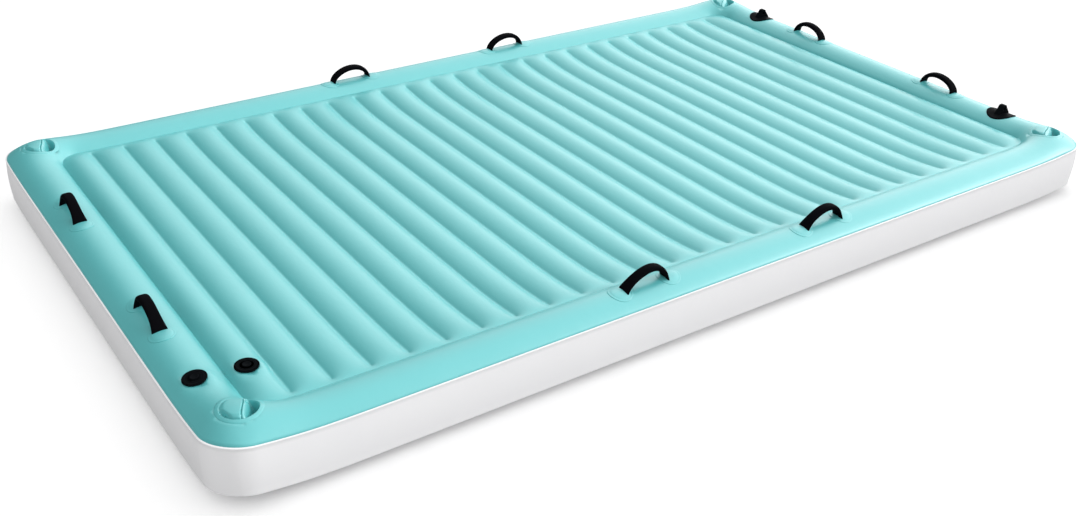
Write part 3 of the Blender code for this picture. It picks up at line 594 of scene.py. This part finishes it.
for name, (place, turn_deg, skew) in HANDLES.items():
    c, s = math.cos(math.radians(turn_deg)), math.sin(math.radians(turn_deg))
    for side, tag in ((-1, "a"), (1, "b")):
        reach = side * (HANDLE_SPAN / 2 + PATCH_OFFSET)
        centre = (place[0] + c * reach, place[1] + s * reach)
        points = disc_points(centre, patch_profile)
        add_piece(f"{name}_weld_{tag}", points, grid_faces(*points.shape[:2], around_v=True), TEAL,
                  "mat", (f"{name}_patch_{tag}",), 60)
    band = strap_points(place, turn_deg, skew, FULLNESS[name.split("_")[0]])
    ends = np.stack((band[0].mean(axis=0), band[-1].mean(axis=0)))
    band = np.concatenate((np.broadcast_to(ends[0], band[:1].shape), band,
                           np.broadcast_to(ends[1], band[:1].shape)))
    strap = add_piece(f"{name}_band", band, grid_faces(*band.shape[:2], around_v=True), STRAP_BLACK,
                      None, (f"{name}_strap",), 50)
    crest = height_at(place)
    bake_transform(strap)

# Valves. Black moulded plates on both chambers. The socket is welded under the deck and keeps its solid.
# Its body screws in and shows as a round plate with a rim, a finger groove and a plug on a short tab.
plate_profile = (
    (0.0100, 0.0008), (0.0296, 0.0008), (0.0301, 0.0013), (0.0301, 0.0031), (0.0296, 0.0040),
    (0.0284, 0.0045), (0.0262, 0.0045), (0.0250, 0.0041), (0.0240, 0.0034), (0.0215, 0.0031),
    (0.0190, 0.0034), (0.0180, 0.0041), (0.0170, 0.0045), (0.0105, 0.0045), (0.0098, 0.0041),
    (0.0095, 0.0034),
)
plug_profile = (
    (0, -0.0012), (0.0078, -0.0012), (0.0078, 0.0048), (0.0104, 0.0048), (0.0110, 0.0053),
    (0.0110, 0.0062), (0.0104, 0.0068), (0.0088, 0.0070), (0.0080, 0.0066), (0.0070, 0.0062),
    (0, 0.0060),
)


def turned_points(profile):
    """A profile of (radius, height) turned about the upright axis."""
    radius, height = np.array(profile).T[:, :, None]
    return np.stack((radius * np.cos(around), radius * np.sin(around), height + 0 * around), axis=-1)


def tilted(points, origin, angle):
    """Points leaned over by an angle about the Y axis, then moved to an origin."""
    c, s = math.cos(angle), math.sin(angle)
    lean = np.array(((c, 0, s), (0, 1, 0), (-s, 0, c)))
    return points @ lean.T + origin


for valve, (valve_x, valve_y, level, tilt_deg) in VALVES.items():
    origin, angle = np.array((valve_x, valve_y, level)), math.radians(tilt_deg)
    plate = tilted(turned_points(plate_profile), origin, angle)
    add_piece(f"{valve}_plate", plate, grid_faces(*plate.shape[:2], around_u=True, around_v=True),
              MOULDED_BLACK, valve, (), 30)
    stopper = tilted(turned_points(plug_profile), origin, angle)
    add_piece(f"{valve}_stopper", stopper, grid_faces(*stopper.shape[:2], around_v=True), MOULDED_BLACK,
              f"{valve}_plug", (f"{valve}_plug",), 30)
    for part in ("socket", "body", "flap"):
        dress(f"{valve}_{part}", MOULDED_BLACK)

# Tow eyes. Each is one black moulding: a thin disc welded over the border's crest, with a raised lug
# that runs across the border and tapers to a rounded top. A round hole goes through the lug.
TOW_EYES = {"tow_eye_near": (END_CREST, -0.61), "tow_eye_far": (END_CREST, 0.61)}
LUG_THICKNESS, EYE_RADIUS, EYE_HEIGHT = 0.02, 0.006, 0.0165
FOOT_HALF, SHOULDER_HALF, CROWN_RADIUS = 0.031, 0.0115, 0.009
LUG_DEPTH, SHOULDER_HEIGHT, CROWN_RISE, FLANK_SWELL = 0.004, 0.022, 0.008, 0.003
EDGE_ROUND, EDGE_SPREAD = 0.0022, 0.0367
eye_disc_profile = (
    (0, 0.0026), (0.030, 0.0026), (0.0455, 0.0024), (0.0465, 0.0030), (0.0485, 0.0030),
    (0.0498, 0.0022), (0.0500, 0.0010), (0.0498, -0.0003), (0.030, -0.0003), (0, -0.0003),
)
part = np.linspace(0, 1, 9)[:-1]
swell = FLANK_SWELL * part * (1 - part)
taper, climb = (FOOT_HALF - SHOULDER_HALF) * part, (SHOULDER_HEIGHT + LUG_DEPTH) * part
crown = np.linspace(0, math.pi, 17)[:-1]
crown_x = (SHOULDER_HALF - CROWN_RADIUS) * np.sign(np.cos(crown)) + CROWN_RADIUS * np.cos(crown)
lug_side = np.concatenate((
    np.stack((FOOT_HALF - taper + swell, climb - LUG_DEPTH), axis=1),
    np.stack((crown_x, SHOULDER_HEIGHT + CROWN_RISE * np.sin(crown)), axis=1),
    np.stack((-SHOULDER_HALF - taper - swell, SHOULDER_HEIGHT - climb), axis=1),
    np.stack((FOOT_HALF * (2 * part - 1), np.full(8, -LUG_DEPTH)), axis=1),
)) - (0, EYE_HEIGHT)
eye_ring = EYE_RADIUS * lug_side / np.linalg.norm(lug_side, axis=1)[:, None]
# Loops over half the lug: how far out from the hole to the outline, how far from the middle of its
# thickness, and the spread of its outline there.
half_lug = np.array((
    (0.0, LUG_THICKNESS / 2 - EDGE_ROUND, 0), (0.1, LUG_THICKNESS / 2, 0), (0.9, LUG_THICKNESS / 2, 0),
    (1.0, LUG_THICKNESS / 2 - 0.3 * EDGE_ROUND, 0),
    (1.0, LUG_THICKNESS / 2 - EDGE_ROUND, EDGE_SPREAD),
))
lug_steps = np.concatenate((half_lug * (1, -1, 1), half_lug[::-1]))
for name, place in TOW_EYES.items():
    points = disc_points(place, eye_disc_profile)
    add_piece(f"{name}_disc", points, grid_faces(*points.shape[:2], around_v=True), MOULDED_BLACK, "mat",
              (name,), 50)
    out, depth, grow = lug_steps.T[:, :, None]
    spread = eye_ring + out[..., None] * (lug_side - eye_ring)
    ring_x, ring_z = np.moveaxis(spread, -1, 0) * (1 + grow)
    eye_level = height_at(place) + EYE_HEIGHT
    lug = np.stack((place[0] + ring_x, place[1] + depth + 0 * ring_x, eye_level + ring_z), axis=-1)
    add_piece(f"{name}_lug", lug, grid_faces(*lug.shape[:2], around_u=True, around_v=True), MOULDED_BLACK,
              "mat", (), 35)

# Studio: the camera, an even white sky with a soft bright side for the gloss, one lamp from the front
# right that lights the mat alone, and a pale floor.
FOCAL_PX, IMAGE_WIDTH = 1208.4, 1080
CAMERA_PLACE = -2.1356, -2.9402, 1.825
yaw, pitch, roll = (math.radians(deg) for deg in (35.09, 29.79, 1.478))
ahead = np.array((math.sin(yaw) * math.cos(pitch), math.cos(yaw) * math.cos(pitch), -math.sin(pitch)))
right = np.array((math.cos(yaw), -math.sin(yaw), 0.0))
above = np.cross(right, ahead)
right, above = (math.cos(roll) * right + math.sin(roll) * above,
                math.cos(roll) * above - math.sin(roll) * right)
camera_data = bpy.data.cameras.new("photo_camera")
camera_data.sensor_width = 36
camera_data.lens = FOCAL_PX / IMAGE_WIDTH * camera_data.sensor_width
camera = bpy.data.objects.new("photo_camera", camera_data)
turned = Matrix(np.stack((right, above, -ahead), axis=1).tolist()).to_4x4()
turned.translation = CAMERA_PLACE
camera.matrix_world = turned
bpy.context.scene.collection.objects.link(camera)
bpy.context.scene.camera = camera

BRIGHT_SIDE = 0.86, -0.15, 0.49
GLOSS_LEVELS, SKY_LEVELS = (0.05, 4.8), (0.84, 0.96)
world = bpy.context.scene.world or bpy.data.worlds.new("studio")
bpy.context.scene.world = world
world.use_nodes = True
nodes, links = world.node_tree.nodes, world.node_tree.links
sky = nodes["Background"]
sky.inputs["Color"].default_value = (1, 1, 1, 1)
ray = nodes.new("ShaderNodeLightPath")
place = nodes.new("ShaderNodeTexCoord")
facing = nodes.new("ShaderNodeVectorMath")
facing.operation = "DOT_PRODUCT"
facing.inputs[1].default_value = BRIGHT_SIDE
links.new(place.outputs["Generated"], facing.inputs[0])
softbox = nodes.new("ShaderNodeMapRange")
softbox.inputs["To Min"].default_value, softbox.inputs["To Max"].default_value = GLOSS_LEVELS
links.new(facing.outputs["Value"], softbox.inputs["Value"])
soft_side = nodes.new("ShaderNodeMapRange")
soft_side.inputs["From Min"].default_value = -1
soft_side.inputs["To Min"].default_value, soft_side.inputs["To Max"].default_value = SKY_LEVELS
links.new(facing.outputs["Value"], soft_side.inputs["Value"])
glossy = nodes.new("ShaderNodeMix")
links.new(ray.outputs["Is Glossy Ray"], glossy.inputs["Factor"])
links.new(soft_side.outputs["Result"], glossy.inputs["A"])
links.new(softbox.outputs["Result"], glossy.inputs["B"])
level = nodes.new("ShaderNodeMix")
level.inputs["B"].default_value = 1.0
links.new(ray.outputs["Is Camera Ray"], level.inputs["Factor"])
links.new(glossy.outputs["Result"], level.inputs["A"])
links.new(level.outputs["Result"], sky.inputs["Strength"])

LAMP_SIDE, LAMP_STRENGTH, LAMP_SPREAD_DEG = (0.74, -0.46, 0.49), 1.35, 3.5
lamp_data = bpy.data.lights.new("front_right_lamp", "SUN")
lamp_data.energy = LAMP_STRENGTH
lamp_data.angle = math.radians(LAMP_SPREAD_DEG)
lamp = bpy.data.objects.new("front_right_lamp", lamp_data)
towards = np.array(LAMP_SIDE) / np.linalg.norm(LAMP_SIDE)
side = np.cross((0, 0, 1), towards)
side /= np.linalg.norm(side)
aimed = np.stack((side, np.cross(towards, side), towards), axis=1)
lamp.matrix_world = Matrix(aimed.tolist()).to_4x4()
bpy.context.scene.collection.objects.link(lamp)
lit = bpy.data.collections.new("lit_by_the_lamp")
for piece in bpy.context.scene.objects:
    if piece.type == "MESH":
        lit.objects.link(piece)
lamp.light_linking.receiver_collection = lit

# The floor is whiter to the camera than to the light that bounces off it, and dim in the gloss.
FLOOR_REACH, FLOOR_LEVEL, FLOOR_SIDES = 30, -0.0005, 64
FLOOR_GREY, FLOOR_WHITE, FLOOR_DIM = 0.74, 1.18, 0.2
ring = np.linspace(0, 2 * math.pi, FLOOR_SIDES + 1)[:-1]
floor_mesh = bpy.data.meshes.new("studio_floor")
floor_edge = np.stack((np.cos(ring), np.sin(ring), 0 * ring), axis=1) * FLOOR_REACH
floor_edge += (0, 0, FLOOR_LEVEL)
floor_mesh.from_pydata(floor_edge.tolist(), [], [list(range(FLOOR_SIDES))])
floor_paint = bpy.data.materials.new("studio_floor")
floor_paint.use_nodes = True
nodes, links = floor_paint.node_tree.nodes, floor_paint.node_tree.links
shader = nodes["Principled BSDF"]
shader.inputs["Roughness"].default_value = 1
shader.inputs["Specular IOR Level"].default_value = 0
ray = nodes.new("ShaderNodeLightPath")
pale = nodes.new("ShaderNodeMix")
pale.data_type = "RGBA"
pale.inputs["A"].default_value = (FLOOR_GREY, FLOOR_GREY, FLOOR_GREY, 1)
pale.inputs["B"].default_value = (FLOOR_WHITE, FLOOR_WHITE, FLOOR_WHITE, 1)
links.new(ray.outputs["Is Camera Ray"], pale.inputs["Factor"])
dim = nodes.new("ShaderNodeMix")
dim.data_type = "RGBA"
dim.inputs["B"].default_value = (FLOOR_DIM, FLOOR_DIM, FLOOR_DIM, 1)
links.new(ray.outputs["Is Glossy Ray"], dim.inputs["Factor"])
links.new(pale.outputs["Result"], dim.inputs["A"])
links.new(dim.outputs["Result"], shader.inputs["Base Color"])
floor_mesh.materials.append(floor_paint)
studio_floor = bpy.data.objects.new("studio_floor", floor_mesh)
bpy.context.scene.collection.objects.link(studio_floor)

bpy.context.scene.view_settings.view_transform = "Standard"
